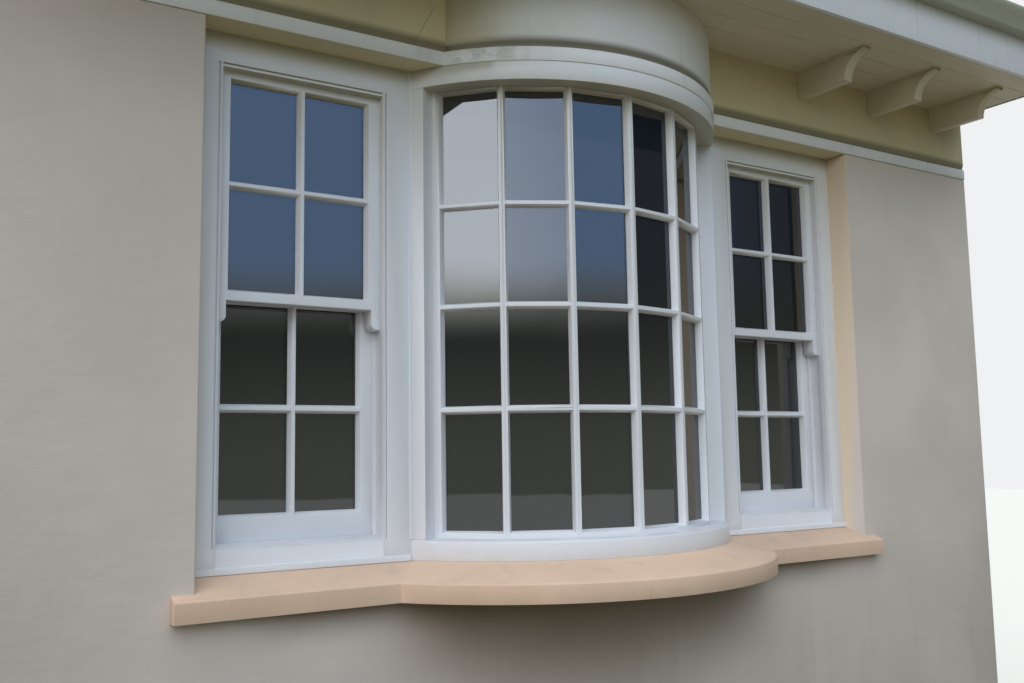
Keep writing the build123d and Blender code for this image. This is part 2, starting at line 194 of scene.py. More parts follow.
# the photograph's point of view, solved from the joinery: metres, degrees and millimetres
VIEW_PLACE = (-2.1606, -3.0039, 1.4291)
VIEW_TURN = -32.4375
VIEW_TIP = 6.4048
VIEW_ROLL = -0.9071
VIEW_LENS = 35.18
VIEW_SENSOR = 36.0

SETTINGS = {
    "bay_paint": PaintSettings,
    "bay_wear": WearAndShadeSettings,
    "bay_arris": ArrisSettings,
    "bay_board": BoardSettings,
    "bay_glass": GlassSettings,
    "bay_fitting": FittingSettings,
    "bay_stage": StageSettings,
}


class Socket:
    """A node's output that adds Math nodes when it is used in arithmetic."""

    def __init__(self, tree, output):
        self.tree = tree
        self.output = output

    def math(self, operation, *values):
        return self.tree.node("ShaderNodeMath", {"operation": operation}, values)

    def __add__(self, other):
        return self.math("ADD", self, other)

    __radd__ = __add__

    def __mul__(self, other):
        return self.math("MULTIPLY", self, other)

    __rmul__ = __mul__

    def __sub__(self, other):
        return self.math("SUBTRACT", self, other)

    def __rsub__(self, other):
        return self.math("SUBTRACT", other, self)

    def __truediv__(self, other):
        return self.math("DIVIDE", self, other)

    def __abs__(self):
        return self.math("ABSOLUTE", self)

    def above(self, low, high):
        """0 below low, 1 over high and a smooth step between; reversed where low is over high."""
        return self.tree.node("ShaderNodeMapRange", {"interpolation_type": "SMOOTHSTEP"},
                              {"Value": self, "From Min": low, "From Max": high})


class Tree:
    """Adds nodes to a node tree, each with its settings first and then its sockets."""

    def __init__(self, node_tree):
        self.nodes = node_tree.nodes
        self.links = node_tree.links

    def node(self, kind, settings=None, sockets=(), output=0):
        node = self.nodes.new(kind)
        for name, value in (settings or {}).items():
            setattr(node, name, value)
        named = sockets.items() if isinstance(sockets, dict) else enumerate(sockets)
        for name, value in named:
            if isinstance(value, Socket):
                self.links.new(value.output, node.inputs[name])
            else:
                node.inputs[name].default_value = value
        if not node.outputs:
            return None
        return Socket(self, node.outputs[output])

    def more(self, socket, output):
        """Another output of the node that the socket comes from."""
        return Socket(self, socket.output.node.outputs[output])

    def split(self, vector):
        x = self.node("ShaderNodeSeparateXYZ", None, [vector])
        return x, self.more(x, 1), self.more(x, 2)

    def stretch(self, vector, scale):
        return self.node("ShaderNodeVectorMath", {"operation": "MULTIPLY"}, [vector, scale])

    def mix(self, factor, first, second):
        return self.node("ShaderNodeMix", {"data_type": "RGBA"}, {0: factor, 6: first, 7: second}, 2)

    def noise(self, vector, scale, detail=3.0):
        return self.node("ShaderNodeTexNoise", None, {"Vector": vector, "Scale": scale, "Detail": detail})

    def cells(self, vector, scale, feature):
        return self.node("ShaderNodeTexVoronoi", {"feature": feature}, {"Vector": vector, "Scale": scale})


def own_name(finish):
    """A material's name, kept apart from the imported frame's plain materials."""
    return "bay_" + finish


class Finish(Tree):
    """One material: a Principled surface over the piece's own coordinates."""

    def __init__(self, name):
        self.material = bpy.data.materials.new(own_name(name))
        self.material.use_nodes = True
        super().__init__(self.material.node_tree)
        self.nodes.clear()
        self.place = self.node("ShaderNodeTexCoord", None, (), "Object")
        self.x, self.y, self.z = self.split(self.place)

    def facing(self):
        geometry = self.node("ShaderNodeNewGeometry", None, (), "Normal")
        return self.split(geometry)

    def streaks(self, scale_x, scale_z):
        """Long marks that run down the piece."""
        return self.noise(self.stretch(self.place, (scale_x, scale_x, scale_z)), 1.0)

    def mottled(self, patches, colour, darker, lighter):
        """The colour in soft patches, from darker to lighter."""
        return self.mix(patches, shade(colour, darker), shade(colour, lighter))

    def brush(self):
        """Brush marks both along and up the work."""
        along = self.noise(self.stretch(self.place, (6.0, 6.0, 420.0)), 1.0, 2.0)
        upward = self.noise(self.stretch(self.place, (420.0, 420.0, 6.0)), 1.0, 2.0)
        return along * 0.5 + upward * 0.5

    def surface(self, colour, roughness, height, depth, **constants):
        """Ends the material in its colour, its roughness and a bump of the given depth."""
        bump = self.node("ShaderNodeBump", None, {"Height": height, "Distance": depth, "Strength": 1.0})
        sockets = {"Base Color": colour, "Roughness": roughness, "Normal": bump}
        for name, value in constants.items():
            sockets[name.replace("_", " ").title().replace("Ior", "IOR")] = value
        shader = self.node("ShaderNodeBsdfPrincipled", None, sockets)
        self.node("ShaderNodeOutputMaterial", None, [shader])
        return self.material


# materials
def outside(finish):
    """The face to the street and all that stands before it."""
    return finish.y.above(WALL_FACE + 0.02, WALL_FACE + 0.01)


def hollow_algae_and_shade(finish):
    """Olive algae and painted shade in the hollow over the band, thicker towards its foot."""
    foot = finish.z.above(BAND_TOP - 0.0005, BAND_TOP + 0.0005)
    return foot * finish.z.above(BED_TOP + 0.030, BED_TOP - 0.002) * outside(finish)


def render_paint(colours, wear_and_shade):
    """Masonry paint over fine sand render, peach on the returns beside the windows."""
    f = Finish("render_paint")
    patches = f.noise(f.place, 1.6, 5.0)
    stain = f.streaks(9.0, 0.7).above(0.52, 0.78) * f.z.above(1.0, 0.55) * f.z.above(0.1, 0.6)
    damp = f.z.above(0.34, 0.02) * f.noise(f.place, 7.0, 6.0).above(0.35, 0.7) * outside(f)
    # painted shadow on the wall close under the sill, along the sill's length
    wall_shadow_by_sill = f.z.above(SILL_FOOT - 0.12, SILL_FOOT)
    wall_shadow_by_sill = wall_shadow_by_sill * abs(f.x).above(REVEAL_X - 0.05, REVEAL_X - 0.35) * outside(f)
    # painted shadow on the wall under the bow's overhang
    wall_shadow_by_bow = f.z.above(SILL_FOOT - 0.42, SILL_FOOT - 0.04) * abs(f.x).above(1.0, 0.5) * outside(f)
    specks = f.cells(f.place, 26.0, "F1").above(0.055, 0.03) * patches.above(0.5, 0.6)
    wall = f.mottled(patches.above(0.35, 0.7), colours.render, 0.93, 1.05)
    wall = f.mix(stain * 0.22, wall, shade(colours.render, 0.55))
    wall = f.mix(damp * 0.5, wall, wear_and_shade.damp)
    wall = f.mix(wall_shadow_by_sill * 0.55, wall, wear_and_shade.wall_shadow_by_sill)
    wall = f.mix(wall_shadow_by_bow * 0.6, wall, wear_and_shade.wall_shadow_by_bow)
    wall = f.mix(specks * 0.45, wall, wear_and_shade.speck)
    across, _, _ = f.facing()
    returns = abs(across).above(0.55, 0.8) * abs(abs(f.x) - REVEAL_X).above(0.012, 0.006)
    wall = f.mix(returns, wall, colours.reveal)
    sand = f.noise(f.place, 330.0, 4.0)
    float_marks = f.noise(f.stretch(f.place, (14.0, 14.0, 22.0)), 1.0, 3.0)
    return f.surface(wall, 0.85, sand * 0.35 + float_marks, 0.0016, specular_ior_level=0.2)


def frieze_paint(colours, wear_and_shade):
    """Smooth cream paint over the band, with the odd hair crack."""
    f = Finish("frieze_paint")
    patches = f.noise(f.place, 2.2, 5.0)
    crack = f.cells(f.place, 3.0, "DISTANCE_TO_EDGE").above(0.006, 0.002) * patches.above(0.56, 0.66)
    streaks = f.streaks(14.0, 1.2).above(0.55, 0.8)
    base = f.mottled(patches.above(0.3, 0.7), colours.frieze, 0.94, 1.04)
    base = f.mix(streaks * 0.15, base, shade(colours.frieze, 0.6))
    base = f.mix(crack * 0.5, base, shade(colours.frieze, 0.4))
    # algae and painted shade at the foot of the frieze
    base = f.mix(hollow_algae_and_shade(f) * 0.8, base, wear_and_shade.frieze_algae_and_shade)
    return f.surface(base, 0.6, f.noise(f.place, 160.0, 4.0) - crack * 2.0, 0.0005)


def sill_paint(colours, wear_and_shade):
    """Peach masonry paint, brushed along the sill, with painted shade under the nose."""
    f = Finish("sill_paint")
    patches = f.noise(f.place, 3.0, 5.0)
    strokes = f.noise(f.stretch(f.place, (4.0, 4.0, 260.0)), 1.0, 3.0)
    _, _, up = f.facing()
    grime = up.above(0.4, 0.9) * f.noise(f.place, 11.0, 6.0).above(0.55, 0.75)
    drips = f.streaks(60.0, 3.0).above(0.6, 0.8) * up.above(0.5, 0.2)
    chips = f.cells(f.place, 15.0, "F1").above(0.05, 0.03) * patches.above(0.52, 0.6)
    base = f.mottled(patches.above(0.3, 0.7), colours.sill, 0.95, 1.04)
    base = f.mix(grime * 0.16, base, wear_and_shade.grime)
    base = f.mix(drips * 0.18, base, wear_and_shade.drip)
    base = f.mix(chips * 0.5, base, wear_and_shade.chip)
    # painted shade on the faces of the sill that look down
    base = f.mix(up.above(-0.6, -0.9) * 0.8, base, wear_and_shade.sill_nose_shade)
    height = strokes * 0.3 + f.noise(f.place, 120.0, 3.0) * 0.4 - chips
    rough = f.noise(f.place, 20.0) * 0.2 + 0.58
    return f.surface(base, rough, height, 0.0009, specular_ior_level=0.2)


def joinery_paint(colours, wear_and_shade):
    """White gloss on timber: brush marks, dust where it settles, yellow painted shade under the eaves."""
    f = Finish("joinery_paint")
    patches = f.noise(f.place, 4.0, 4.0)
    _, _, up = f.facing()
    dust = up.above(0.5, 0.95) * f.noise(f.place, 16.0, 5.0).above(0.4, 0.7)
    splash = f.z.above(SILL_LINE + 0.05, SILL_LINE) * f.streaks(40.0, 4.0).above(0.45, 0.7)
    # olive stain and painted shade at the top of the flank frames, under the band
    stain_and_shade_under_band = f.z.above(BAND_FOOT - 0.055, BAND_FOOT - 0.005) * abs(f.y - WALL_FACE).above(0.13, 0.11)
    # painted shade high on the joinery, under the eaves
    high = f.z.above(SILL_LINE + 1.1, SILL_LINE + 1.55)
    base = f.mottled(patches, colours.joinery, 0.97, 1.0)
    base = f.mix(dust * 0.14, base, wear_and_shade.dust)
    base = f.mix(splash * 0.05, base, wear_and_shade.splash)
    base = f.mix(stain_and_shade_under_band * 0.5, base, wear_and_shade.stain_and_shade_under_band)
    base = f.mix(high * 0.22, base, wear_and_shade.high)
    # painted shade on the downward faces high up
    base = f.mix(high * up.above(-0.5, -0.9) * 0.6, base, wear_and_shade.shaded_underside)
    height = f.brush() * 0.6 + f.noise(f.place, 60.0, 2.0) * 0.4
    return f.surface(base, f.noise(f.place, 30.0) * 0.14 + 0.36, height, 0.0003, coat_weight=0.1,
                     coat_roughness=0.2)


def trim_paint(colours, wear_and_shade):
    """Older cream paint on the band and drum, crazed and lifting in places."""
    f = Finish("trim_paint")
    patches = f.noise(f.place, 2.4, 5.0)
    near_start = abs(f.x + 0.55).above(0.2, 0.06) * f.z.above(BAND_FOOT - 0.01, BAND_FOOT + 0.02)
    worn = patches.above(0.6, 0.7) * 0.7 + near_start * f.noise(f.place, 22.0, 4.0).above(0.42, 0.56)
    worn = worn * f.z.above(BAND_TOP + 0.004, BAND_TOP - 0.004)
    drift = f.node("ShaderNodeTexNoise", None, {"Vector": f.place, "Scale": 60.0}, "Color")
    drift = f.stretch(drift, (0.012, 0.012, 0.012))
    warped = f.node("ShaderNodeVectorMath", {"operation": "ADD"}, [f.place, drift])
    crazing = f.cells(f.stretch(warped, (1.0, 1.0, 1.6)), 150.0, "DISTANCE_TO_EDGE").above(0.1, 0.02) * worn
    # painted shade: olive on the drum's left end, next to the wall
    drum_end_shade = f.x.above(-0.38, -0.60) * f.z.above(BED_TOP - 0.01, BED_TOP + 0.02)
    base = f.mottled(patches.above(0.3, 0.7), colours.trim, 0.95, 1.03)
    base = f.mix(f.streaks(18.0, 2.0).above(0.56, 0.8) * 0.14, base, wear_and_shade.streak)
    base = f.mix(crazing * 0.28, base, wear_and_shade.crack)
    # algae and painted shade in the hollow over the band
    base = f.mix(hollow_algae_and_shade(f) * (patches * 0.1 + 0.85), base, wear_and_shade.band_algae_and_shade)
    base = f.mix(drum_end_shade * 0.8, base, wear_and_shade.drum_end_shade)
    height = f.brush() * 0.5 + worn * f.noise(f.place, 90.0, 3.0) * 0.8 - crazing * 1.4
    return f.surface(base, f.noise(f.place, 24.0) * 0.2 + 0.36, height, 0.0007)


def soffit_paint(colours, wear_and_shade):
    """Flat cream on the soffit boards and rafter ends, with green on the ends of the rafters."""
    f = Finish("soffit_paint")
    patches = f.noise(f.stretch(f.place, (1.2, 6.0, 6.0)), 1.0, 5.0)
    grain = f.noise(f.stretch(f.place, (5.0, 320.0, 320.0)), 1.0, 2.0)
    spots = f.cells(f.place, 11.0, "F1").above(0.05, 0.02)
    green = f.y.above(RAFTER_TIP + 0.09, RAFTER_TIP + 0.02) * f.z.above(SOFFIT_FACE, SOFFIT_FACE - 0.004)
    base = f.mottled(patches.above(0.3, 0.7), colours.soffit, 0.92, 1.04)
    base = f.mix(spots * 0.5, base, wear_and_shade.spot)
    base = f.mix(green * 0.4, base, wear_and_shade.green)
    return f.surface(base, 0.5, grain, 0.0005)


def weathered_paint(name, colour, wear_and_shade):
    """Outdoor paint on the eaves, streaked by run-off."""
    f = Finish(name)
    patches = f.noise(f.place, 3.0, 4.0)
    runs = f.streaks(34.0, 1.6).above(0.52, 0.78)
    base = f.mix(runs * 0.2, f.mottled(patches, colour, 0.95, 1.02), wear_and_shade.run)
    grain = f.noise(f.stretch(f.place, (4.0, 260.0, 260.0)), 1.0, 2.0)
    return f.surface(base, f.noise(f.place, 26.0) * 0.18 + 0.34, grain, 0.0004)


def fascia_paint(colours, wear_and_shade):
    return weathered_paint("fascia_paint", colours.fascia, wear_and_shade)


def gutter_paint(colours, wear_and_shade):
    return weathered_paint("gutter_paint", colours.gutter, wear_and_shade)


def deck_timber(colours):
    """Bare weathered boards laid along the eaves."""
    f = Finish("deck_timber")
    board_width = 0.15
    board = f.y / board_width
    joint = abs(board - board.math("ROUND", board)).above(0.03, 0.012)
    grain = f.noise(f.stretch(f.place, (2.0, 90.0, 90.0)), 1.0, 6.0)
    base = f.mottled(grain, colours.deck, 0.7, 1.25)
    base = f.mix(joint, base, shade(colours.deck, 0.25))
    return f.surface(base, 0.8, grain * 0.4 - joint, 0.002)


def painted_nail(colours, wear_and_shade):
    """Paint over a nail head, with a trace of rust."""
    f = Finish("painted_nail")
    rust = f.noise(f.place, 40.0, 2.0).above(0.6, 0.7)
    base = f.mix(rust * 0.6, colours.soffit, wear_and_shade.rust)
    return f.surface(base, 0.5, rust, 0.0002)


def pane_glass(glass):
    """Sheet glass painted dark as the shade of an unlit room behind it, with slow waves."""
    f = Finish("pane_glass")
    wave = f.noise(f.place, 3.2, 1.0)
    f.material.surface_render_method = "BLENDED"
    return f.surface(glass.body, 0.02, wave, glass.wave, alpha=glass.cover, ior=1.75)


def brass_metal(fitting):
    """Lacquered brass, duller where it is handled."""
    f = Finish("brass_metal")
    worn = f.noise(f.place, 60.0, 4.0)
    base = f.mix(worn.above(0.4, 0.7), fitting.brass, shade(fitting.brass, 0.55))
    return f.surface(base, worn * 0.3 + 0.2, worn, 0.0002, metallic=1.0)


def material(recipe, *settings):
    """The recipe's material, made once."""
    return bpy.data.materials.get(own_name(recipe.__name__)) or recipe(*settings)


def painted(recipe):
    """A paint's material, from the scene's colours of paint, of wear and of painted shade."""
    scene = bpy.context.scene
    return material(recipe, scene.bay_paint, scene.bay_wear)


# meshes
WELD = 0.00002  # points closer than this are one
FLAT = math.radians(0.4)  # edges flatter than this are needless
SHARP = math.radians(32)  # edges sharper than this are worn round


def piece_from(mesh, name):
    """A new object at the origin that carries the mesh."""
    obj = bpy.data.objects.new(name, mesh)
    bpy.context.scene.collection.objects.link(obj)
    return obj


def applied(obj):
    """Turns the object's modifiers into plain mesh."""
    depsgraph = bpy.context.evaluated_depsgraph_get()
    mesh = bpy.data.meshes.new_from_object(obj.evaluated_get(depsgraph), depsgraph=depsgraph)
    obj.modifiers.clear()
    obj.data = mesh
    return obj


def rounded(obj, radius):
    """Rounds the sharp edges of the object."""
    for face in obj.data.polygons:
        face.use_smooth = True
    bevel = obj.modifiers.new("arris", "BEVEL")
    bevel.width = radius
    bevel.segments = 2
    bevel.limit_method = "ANGLE"
    bevel.angle_limit = SHARP
    bevel.harden_normals = True
    return applied(obj)


def carried(obj, finish, nodes=()):
    """Gives a finished piece its material and the body that it rides on."""
    obj.data.materials.clear()
    obj.data.materials.append(finish)
    for face in obj.data.polygons:
        face.material_index = 0
    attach(obj, "root")
    if nodes:
        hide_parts(*nodes)
    return obj


def tidied(solid):
    """Welds the mesh, frees its flat faces of needless points and cuts them into triangles again."""
    bmesh.ops.remove_doubles(solid, verts=solid.verts, dist=WELD)
    bmesh.ops.dissolve_limit(solid, angle_limit=FLAT, verts=solid.verts, edges=solid.edges)
    bmesh.ops.triangulate(solid, faces=solid.faces)


def node_mesh(node):
    """The node's solid as a clean closed mesh."""
    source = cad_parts[node]
    mesh = bpy.data.meshes.new(node + "_dressed")
    solid = bmesh.new()
    solid.from_mesh(source.data)
    solid.transform(source.matrix_world)
    tidied(solid)
    solid.to_mesh(mesh)
    solid.free()
    return mesh


def dressed(node, radius, finish):
    """The node's own shape with worn edges, in place of the node."""
    obj = piece_from(node_mesh(node), node + "_dressed")
    rounded(obj, radius)
    return carried(obj, finish, [node])


def joined(nodes, name):
    """One closed shape made of several nodes' solids."""
    first, *others = [piece_from(node_mesh(node), node + "_part") for node in nodes]
    for other in others:
        union = first.modifiers.new("join", "BOOLEAN")
        union.operation = "UNION"
        union.solver = "EXACT"
        union.object = other
    applied(first)
    first.name = name
    for other in others:
        bpy.data.objects.remove(other)
    shape = bmesh.new()
    shape.from_mesh(first.data)
    tidied(shape)
    shape.to_mesh(first.data)
    shape.free()
    return first


def solid_along_x(outline, half, name):
    """A closed solid with the (y, z) outline, from -half to half along X."""
    shape = bmesh.new()
    ends = []
    for x in (-half, half):
        ends.append([shape.verts.new((x, y, z)) for y, z in outline])
    near, far = ends
    shape.faces.new(near)
    shape.faces.new(reversed(far))
    for index in range(len(outline)):
        after = (index + 1) % len(outline)
        shape.faces.new((near[after], near[index], far[index], far[after]))
    bmesh.ops.recalc_face_normals(shape, faces=shape.faces)
    mesh = bpy.data.meshes.new(name)
    shape.to_mesh(mesh)
    shape.free()
    return mesh


def add_box(shape, low, high):
    """Adds a box to the mesh, between two corners."""
    middle = (Vector(low) + Vector(high)) / 2
    size = Vector(high) - Vector(low)
    place = Matrix.Translation(middle) @ Matrix.Diagonal((*size, 1.0))
    bmesh.ops.create_cube(shape, size=1.0, matrix=place)


def add_rod(shape, start, end, radius_start, radius_end):
    """Adds a round bar to the mesh, between two points."""
    start, end = Vector(start), Vector(end)
    turn = (end - start).to_track_quat("Z", "Y").to_matrix().to_4x4()
    place = Matrix.Translation((start + end) / 2) @ turn
    bmesh.ops.create_cone(shape, cap_ends=True, segments=16, radius1=radius_start, radius2=radius_end,
                          depth=(end - start).length, matrix=place)


def add_ball(shape, middle, size):
    """Adds a ball to the mesh, flattened to the given half sizes."""
    place = Matrix.Translation(middle) @ Matrix.Diagonal((*size, 1.0))
    bmesh.ops.create_uvsphere(shape, u_segments=16, v_segments=10, radius=1.0, matrix=place)


def mesh_of(shape, name):
    mesh = bpy.data.meshes.new(name)
    shape.to_mesh(mesh)
    shape.free()
    return mesh


# Geometry Nodes
def node_group(name, inputs):
    """An empty geometry tree with the named inputs and one geometry output."""
    group = bpy.data.node_groups.new(name, "GeometryNodeTree")
    sockets = group.interface
    sockets.new_socket("Piece", in_out="INPUT", socket_type="NodeSocketGeometry")
    for label, kind in inputs:
        sockets.new_socket(label, in_out="INPUT", socket_type=kind)
    sockets.new_socket("Result", in_out="OUTPUT", socket_type="NodeSocketGeometry")
    return group


def named_inputs(tree, group_input):
    """Every input of the group, by its name."""
    outputs = group_input.output.node.outputs
    return {socket.name: tree.more(group_input, socket.name) for socket in outputs if socket.name}


def close_group(tree, geometry, finish):
    """Ends a geometry tree in plain mesh that carries its material."""
    real = tree.node("GeometryNodeRealizeInstances", None, [geometry])
    coated = tree.node("GeometryNodeSetMaterial", None, {"Geometry": real, "Material": finish})
    tree.node("NodeGroupOutput", None, [coated])


def grid_group():
    """Repeats the piece in a grid of columns along X and rows along Y."""
    group = node_group("Repeat in a grid", [
        ("Columns", "NodeSocketInt"), ("Column pitch", "NodeSocketFloat"), ("Rows", "NodeSocketInt"),
        ("Row pitch", "NodeSocketFloat"), ("Stray", "NodeSocketFloat"), ("Seed", "NodeSocketInt"),
        ("Material", "NodeSocketMaterial")])
    tree = Tree(group)
    piece = tree.node("NodeGroupInput")
    value = named_inputs(tree, piece)
    right = tree.node("ShaderNodeCombineXYZ", None, {"X": value["Column pitch"]})
    back = tree.node("ShaderNodeCombineXYZ", None, {"Y": value["Row pitch"]})
    columns = tree.node("GeometryNodeMeshLine", None, {"Count": value["Columns"], "Offset": right})
    rows = tree.node("GeometryNodeMeshLine", None, {"Count": value["Rows"], "Offset": back})
    spread = tree.node("GeometryNodeInstanceOnPoints", None, {"Points": rows, "Instance": columns})
    points = tree.node("GeometryNodeRealizeInstances", None, [spread])
    stray = tree.node("FunctionNodeRandomValue", {"data_type": "FLOAT_VECTOR"},
                      {0: (-1.0, -1.0, 0.0), 1: (1.0, 1.0, 0.0), "Seed": value["Seed"]})
    stray = tree.node("ShaderNodeVectorMath", {"operation": "SCALE"}, {0: stray, "Scale": value["Stray"]})
    points = tree.node("GeometryNodeSetPosition", None, {"Geometry": points, "Offset": stray})
    spread = tree.node("GeometryNodeInstanceOnPoints", None, {"Points": points, "Instance": value["Piece"]})
    close_group(tree, spread, value["Material"])
    return group


def board_group():
    """Lays rows of boards along X, each row in two lengths that meet in a butt joint."""
    group = node_group("Lay boards", [
        ("Boards", "NodeSocketInt"), ("Pitch", "NodeSocketFloat"), ("Half run", "NodeSocketFloat"),
        ("Spread", "NodeSocketFloat"), ("Seed", "NodeSocketInt"), ("Material", "NodeSocketMaterial")])
    tree = Tree(group)
    piece = tree.node("NodeGroupInput")
    value = named_inputs(tree, piece)
    step = tree.node("ShaderNodeCombineXYZ", None, {"Y": value["Pitch"]})
    rows = tree.node("GeometryNodeMeshLine", None, {"Count": value["Boards"], "Offset": step})
    stray = tree.node("FunctionNodeRandomValue", {"data_type": "FLOAT"},
                      {2: -1.0, 3: 1.0, "Seed": value["Seed"]}, 1)
    joint = stray * value["Spread"]
    gap = 0.0008
    both = tree.node("GeometryNodeJoinGeometry")
    for side in (-1, 1):
        length = value["Half run"] - joint * side
        middle = tree.node("ShaderNodeCombineXYZ", None, {"X": (joint + value["Half run"] * side) * 0.5})
        points = tree.node("GeometryNodeSetPosition", None, {"Geometry": rows, "Offset": middle})
        scale = tree.node("ShaderNodeCombineXYZ", None, {"X": length - gap, "Y": 1.0, "Z": 1.0})
        lengths = tree.node("GeometryNodeInstanceOnPoints", None,
                            {"Points": points, "Instance": value["Piece"], "Scale": scale})
        tree.links.new(lengths.output, both.output.node.inputs[0])
    close_group(tree, both, value["Material"])
    return group


def laid_out(obj, group, values):
    """Runs a geometry tree on the object and keeps the result as its mesh."""
    modifier = obj.modifiers.new("repeat", "NODES")
    modifier.node_group = group
    for item in group.interface.items_tree:
        if item.in_out == "INPUT" and item.name in values:
            modifier[item.identifier] = values[item.name]
    return applied(obj)


def shared_group(name, build):
    return bpy.data.node_groups.get(name) or build()


# operators
def board_pitch(boards):
    """The width of a whole soffit board."""
    (_, y_out, _), (_, y_wall, _) = SOFFIT
    return (y_wall - y_out - boards.cut) / boards.count


class BayOperator:
    """What the operators share."""

    bl_options = {"REGISTER", "UNDO"}


class BAY_OT_masonry(BayOperator, bpy.types.Operator):
    """Paints the wall, the piers and the frieze, with worn arrises"""

    bl_idname = "bay.masonry"
    bl_label = "Masonry"

    def execute(self, context):
        arris = context.scene.bay_arris
        walls = ("wall_below", "wall_pier_left", "wall_pier_right")
        wall = rounded(joined(walls, "rendered_wall"), arris.masonry)
        carried(wall, painted(render_paint), walls)
        dressed("wall_above", arris.frieze, painted(frieze_paint))
        return {"FINISHED"}


class BAY_OT_sill(BayOperator, bpy.types.Operator):
    """Paints the long sill and rounds its nose"""

    bl_idname = "bay.sill"
    bl_label = "Sill"

    def execute(self, context):
        dressed("window_sill", context.scene.bay_arris.sill, painted(sill_paint))
        return {"FINISHED"}


class BAY_OT_joinery(BayOperator, bpy.types.Operator):
    """Paints the frames, sashes and lights, with softened edges"""

    bl_idname = "bay.joinery"
    bl_label = "Joinery"

    def execute(self, context):
        finish = painted(joinery_paint)
        radius = context.scene.bay_arris.timber
        nodes = ["bow_kerb", "bow_post_left", "bow_post_right", "bow_head", "bow_ceiling", "inner_board"]
        nodes += LIGHTS
        for side in FLANKS:
            nodes += [part + "_" + side for part in ("timber_sill", "upper_sash", "lower_sash")]
            frame_parts = [part + "_" + side for part in ("jamb_outer", "frame_head", "jamb_inner")]
            case = rounded(joined(frame_parts, "sash_case_" + side), radius)
            carried(case, finish, frame_parts)
        for node in nodes:
            dressed(node, radius, finish)
        return {"FINISHED"}


class BAY_OT_trim(BayOperator, bpy.types.Operator):
    """Paints the band, the drum and the rafter ends"""

    bl_idname = "bay.trim"
    bl_label = "Band and rafter ends"

    def execute(self, context):
        radius = context.scene.bay_arris.trim
        for node in ("bow_band", "bow_drum", "wall_band_left", "wall_band_right"):
            dressed(node, radius, painted(trim_paint))
        for side in FLANKS:
            for number in RAFTER_NUMBERS:
                dressed("rafter_end_%d_%s" % (number, side), radius, painted(soffit_paint))
        return {"FINISHED"}


class BAY_OT_glazing(BayOperator, bpy.types.Operator):
    """Gives the panes their glass"""

    bl_idname = "bay.glazing"
    bl_label = "Glass"

    def execute(self, context):
        finish = material(pane_glass, context.scene.bay_glass)
        for node in ("bow_glass", "flank_glass_left", "flank_glass_right"):
            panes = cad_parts[node].data
            panes.materials.clear()
            panes.materials.append(finish)
        return {"FINISHED"}


class BAY_OT_soffit(BayOperator, bpy.types.Operator):
    """Lays the soffit boards, vee jointed, with staggered butt joints"""

    bl_idname = "bay.soffit"
    bl_label = "Soffit boards"

    def execute(self, context):
        boards = context.scene.bay_board
        finish = painted(soffit_paint)
        (_, y_out, z_low), (half_run, y_wall, z_high) = SOFFIT
        pitch, vee = board_pitch(boards), boards.vee
        for width, first, count in ((pitch, y_out, boards.count), (boards.cut, y_wall - boards.cut, 1)):
            outline = [(first, z_low + vee), (first + vee / 2, z_low), (first + width - vee / 2, z_low),
                       (first + width, z_low + vee), (first + width, z_high), (first, z_high)]
            board = piece_from(solid_along_x(outline, 0.5, "board"), "soffit_board")
            laid_out(board, shared_group("Lay boards", board_group), {
                "Boards": count, "Pitch": pitch, "Half run": half_run, "Spread": boards.spread,
                "Seed": boards.seed + count, "Material": finish})
            carried(board, finish, ["eaves_soffit"])
        return {"FINISHED"}


class BAY_OT_eaves(BayOperator, bpy.types.Operator):
    """Paints the fascia, the gutter and the deck"""

    bl_idname = "bay.eaves"
    bl_label = "Fascia and gutter"

    def execute(self, context):
        radius = context.scene.bay_arris.timber
        timber = material(deck_timber, context.scene.bay_paint)
        dressed("fascia", radius, painted(fascia_paint))
        dressed("gutter", radius, painted(gutter_paint))
        dressed("eaves_deck", radius, timber)
        return {"FINISHED"}


class BAY_OT_nails(BayOperator, bpy.types.Operator):
    """Sets painted nail heads in the soffit boards at each rafter"""

    bl_idname = "bay.nails"
    bl_label = "Nail heads"

    # where the two nails stand across a board, as shares of its width
    NAIL_PLACES = (0.28, 0.72)

    def execute(self, context):
        boards = context.scene.bay_board
        fitting = context.scene.bay_fitting
        y_out = SOFFIT[0][1]
        pitch = board_pitch(boards)
        columns = 2 * round(HALF_W / RAFTER_PITCH) - 1
        start = -RAFTER_PITCH * (columns - 1) / 2
        size = (fitting.nail, fitting.nail, fitting.nail_rise)
        shape = bmesh.new()
        for place in self.NAIL_PLACES:
            add_ball(shape, (start, y_out + pitch * place, SOFFIT_FACE), size)
        heads = piece_from(mesh_of(shape, "nail_heads"), "soffit_nails")
        finish = painted(painted_nail)
        laid_out(heads, shared_group("Repeat in a grid", grid_group), {
            "Columns": columns, "Column pitch": RAFTER_PITCH, "Rows": boards.count, "Row pitch": pitch,
            "Stray": fitting.nail_stray, "Seed": boards.seed, "Material": finish})
        carried(heads, finish)
        return {"FINISHED"}


